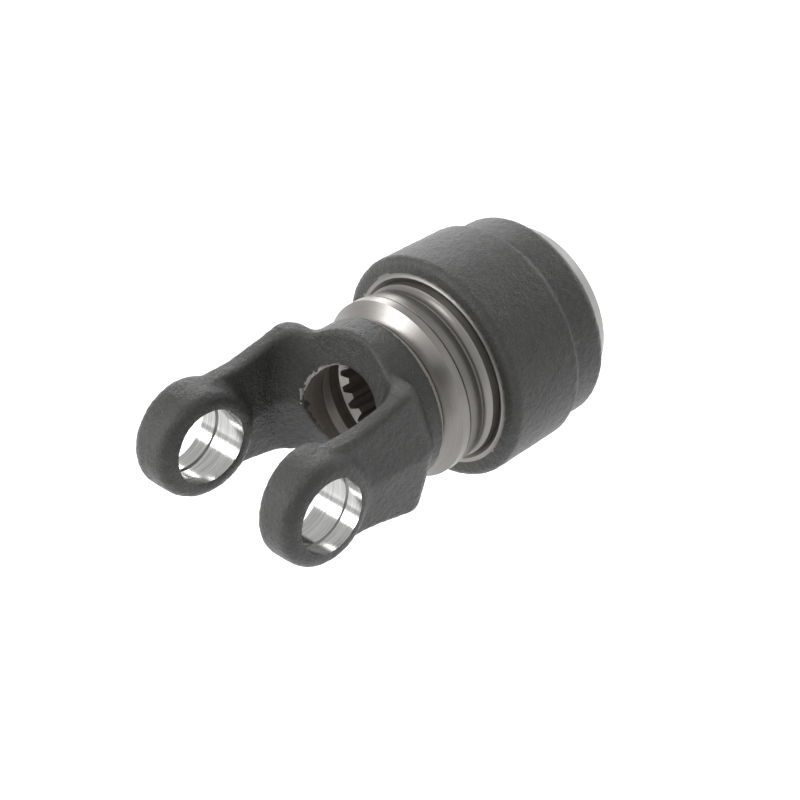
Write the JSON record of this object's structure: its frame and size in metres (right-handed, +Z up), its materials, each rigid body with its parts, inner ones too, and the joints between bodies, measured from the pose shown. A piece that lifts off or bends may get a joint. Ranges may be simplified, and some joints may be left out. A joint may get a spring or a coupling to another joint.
{
  "type": "driveline yoke with slide collar",
  "caption": "Forged clevis yoke with a splined hub, a sprung collar that slides to free the shaft, and balls that lock it.",
  "frame": {"origin": "where the axis of the two bearing bores in the ears meets the driveline axis", "axes": "+X along the driveline from the ears to the splined mouth, +Y along the bearing bores to the left ear, +Z up"},
  "size_m": [0.174, 0.09, 0.09],
  "materials": {
    "forged_steel": "dark oiled forging, rough",
    "cast_collar": "dark rough casting",
    "machined_steel": "turned",
    "spring_steel": "drawn wire, oiled",
    "ball_steel": "polished"
  },
  "bodies": {
    "yoke": {"yoke_forging": "forged_steel", "stop_ring": "machined_steel", "snap_ring": "spring_steel", "spring": "spring_steel"},
    "follower": {"follower_washer": "machined_steel"},
    "collar": {"slide_collar": "cast_collar"},
    "ball_1": {"locking_ball_1": "ball_steel"},
    "ball_2": {"locking_ball_2": "ball_steel"},
    "ball_3": {"locking_ball_3": "ball_steel"}
  },
  "joints": [
    {"name": "collar_release", "type": "slide", "parent": "yoke", "child": "follower", "axis": [-1, 0, 0], "range_m": [0, 0.009], "stiffness_N_per_m": 5000, "springref_m": -0.01, "deforming": ["spring"]},
    {"name": "collar_spin", "type": "hinge", "parent": "follower", "child": "collar", "pos_m": [0.12, 0, 0], "axis": [1, 0, 0], "continuous": true},
    {"name": "ball_1_lift", "type": "slide", "parent": "yoke", "child": "ball_1", "axis": [0, 0, 1], "range_m": [0, 0.0036]},
    {"name": "ball_2_lift", "type": "slide", "parent": "yoke", "child": "ball_2", "axis": [0, -0.866, -0.5], "range_m": [0, 0.0036]},
    {"name": "ball_3_lift", "type": "slide", "parent": "yoke", "child": "ball_3", "axis": [0, 0.866, -0.5], "range_m": [0, 0.0036]}
  ],
  "couplings": [
    {"joint": "ball_1_lift", "follows": "collar_release", "ratio": 0.4},
    {"joint": "ball_2_lift", "follows": "collar_release", "ratio": 0.4},
    {"joint": "ball_3_lift", "follows": "collar_release", "ratio": 0.4}
  ]
}
